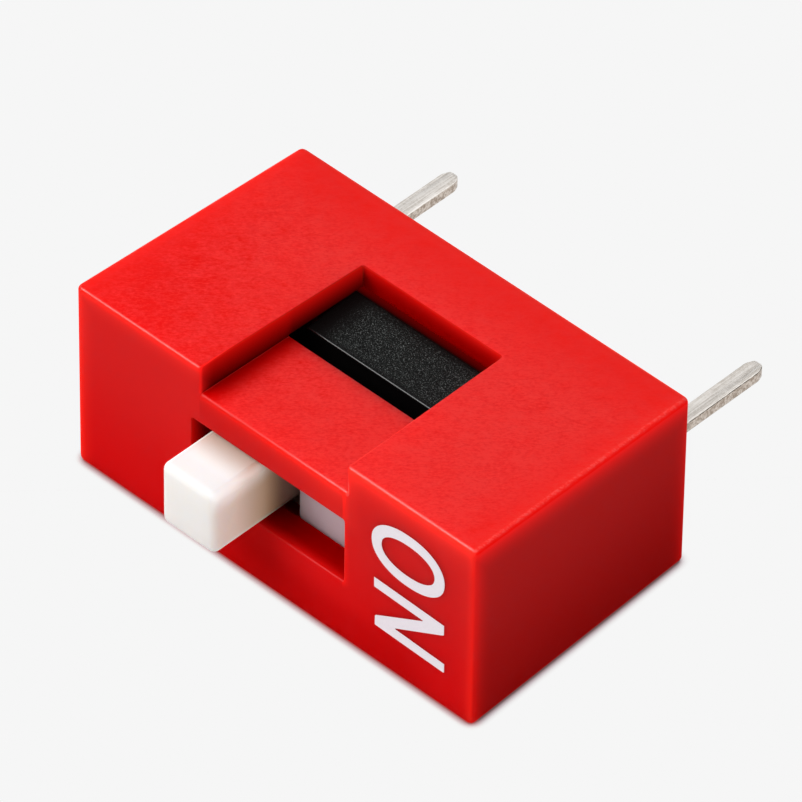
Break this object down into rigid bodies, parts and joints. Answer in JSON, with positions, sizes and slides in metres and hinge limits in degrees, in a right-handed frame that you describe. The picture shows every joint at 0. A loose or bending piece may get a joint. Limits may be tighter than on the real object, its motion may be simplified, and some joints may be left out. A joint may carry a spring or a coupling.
{
  "type": "dip switch",
  "caption": "Slide DIP switch with one position: moulded cover with a slotted actuator face, raised slider knob, snap-in base and straight solder pins.",
  "frame": {"origin": "level with the switch's lowest edge, under the middle of its outline", "axes": "+X from the OFF end to the ON end, +Y from the actuator face to the solder pins, +Z from the plain end wall up to the grooved one"},
  "size_m": [0.0102, 0.0102, 0.0044],
  "materials": {
    "cover_plastic": "satin",
    "base_plastic": "fine texture",
    "potting_resin": "satin",
    "tinned_metal": "satin",
    "slider_plastic": "satin",
    "contact_metal": "bright"
  },
  "bodies": {
    "housing": {"cover": "cover_plastic", "base": "base_plastic", "potting": "potting_resin", "off_terminal": "tinned_metal", "on_terminal": "tinned_metal"},
    "slider": {"slider": "slider_plastic", "bridge_contact": "contact_metal"}
  },
  "joints": [
    {"name": "slider_slide", "type": "slide", "parent": "housing", "child": "slider", "axis": [1, 0, 0], "range_m": [0, 0.00168]}
  ]
}
